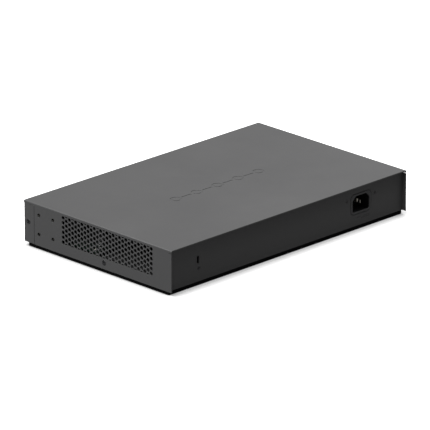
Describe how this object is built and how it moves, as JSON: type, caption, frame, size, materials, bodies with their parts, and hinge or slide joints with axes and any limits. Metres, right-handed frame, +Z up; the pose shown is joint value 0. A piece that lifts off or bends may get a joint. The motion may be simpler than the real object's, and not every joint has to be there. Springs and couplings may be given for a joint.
{
  "type": "desktop network switch",
  "caption": "Low, wide desktop network switch in a folded steel case, with rows of network jacks at the front, side vents, side fans, a mains inlet and a lock slot.",
  "frame": {"origin": "middle of the footprint, on the surface that the feet stand on", "axes": "+Z up; +X to the right seen from the front; -Y out of the front with the jacks, +Y out of the rear panel"},
  "size_m": [0.33, 0.207, 0.0472],
  "materials": {
    "painted_steel": "fine textured powder coat, dark grey",
    "pan_steel": "fine textured powder coat, near black",
    "base_plastic": "moulded, black",
    "foot_rubber": "matt",
    "dark_screw": "black oxide",
    "zinc": "zinc plated",
    "inlet_plastic": "moulded, matt",
    "nickel": "nickel plated",
    "wire_brown": "satin",
    "wire_blue": "satin",
    "wire_earth": "satin",
    "wire_red": "satin",
    "wire_black": "satin",
    "supply_board": "lacquered laminate",
    "green_board": "solder mask",
    "film": "insulating film",
    "ferrite": "matt sintered",
    "yellow_tape": "tape",
    "can_sleeve": "shrink sleeve",
    "aluminium_can": "satin",
    "sink_aluminium": "extruded",
    "black_sink": "black anodised",
    "chip_epoxy": "moulded epoxy",
    "copper_wire": "enamelled",
    "film_capacitor": "moulded",
    "fuse_ceramic": "glazed",
    "white_nylon": "moulded",
    "jack_steel": "tin plated",
    "jack_plastic": "moulded",
    "gold": "gold flash",
    "light_pipe": "moulded clear acrylic",
    "button_plastic": "moulded",
    "fan_plastic": "glass-filled moulding"
  },
  "bodies": {
    "case": {"top_cover": "painted_steel", "base_pan": "pan_steel", "front_bezel": "painted_steel", "bottom_plate": "base_plastic", "rubber_feet": "foot_rubber", "cover_screws": "dark_screw", "bezel_screws": "dark_screw", "rack_ear_nuts": "zinc", "lock_bracket": "dark_screw", "lock_bracket_screw": "dark_screw", "inlet_body": "inlet_plastic", "inlet_pins": "nickel", "inlet_screws": "pan_steel", "live_lead": "wire_brown", "neutral_lead": "wire_blue", "earth_lead": "wire_earth", "earth_stud": "zinc", "psu_board": "supply_board", "psu_insulator": "film", "transformer_core": "ferrite", "transformer_winding": "yellow_tape", "bulk_capacitors": "can_sleeve", "output_capacitors": "can_sleeve", "psu_heatsinks": "sink_aluminium", "power_transistors": "chip_epoxy", "filter_choke": "copper_wire", "filter_capacitor": "film_capacitor", "line_fuse": "fuse_ceramic", "psu_connectors": "white_nylon", "supply_harness": "wire_red", "standoffs": "zinc", "board_screws": "zinc", "main_board": "green_board", "switch_chip": "chip_epoxy", "switch_heatsink": "black_sink", "board_chips": "chip_epoxy", "port_magnetics": "chip_epoxy", "board_capacitors": "aluminium_can", "power_inductors": "ferrite", "board_headers": "white_nylon", "jack_shell_1": "jack_steel", "jack_shell_2": "jack_steel", "jack_shell_3": "jack_steel", "jack_insert_1": "jack_plastic", "jack_insert_2": "jack_plastic", "jack_insert_3": "jack_plastic", "jack_contacts_1": "gold", "jack_contacts_2": "gold", "jack_contacts_3": "gold", "port_light_pipes": "light_pipe", "status_light_pipe": "light_pipe", "button_switch": "chip_epoxy", "fan_bracket": "zinc", "fan_frame_1": "fan_plastic", "fan_frame_2": "fan_plastic", "fan_screws": "zinc", "fan_leads": "wire_black"},
    "mode_button": {"mode_button": "button_plastic"},
    "fan_rotor_1": {"fan_rotor_1": "fan_plastic"},
    "fan_rotor_2": {"fan_rotor_2": "fan_plastic"}
  },
  "joints": [
    {"name": "mode_button_press", "type": "slide", "parent": "case", "child": "mode_button", "axis": [0, 1, 0], "range_m": [0, 0.0008], "stiffness_N_per_m": 600, "springref_m": -0.0008},
    {"name": "fan_1_spin", "type": "hinge", "parent": "case", "child": "fan_rotor_1", "pos_m": [-0.151, -0.014, 0.0256], "axis": [1, 0, 0], "continuous": true},
    {"name": "fan_2_spin", "type": "hinge", "parent": "case", "child": "fan_rotor_2", "pos_m": [-0.151, 0.034, 0.0256], "axis": [1, 0, 0], "continuous": true}
  ]
}
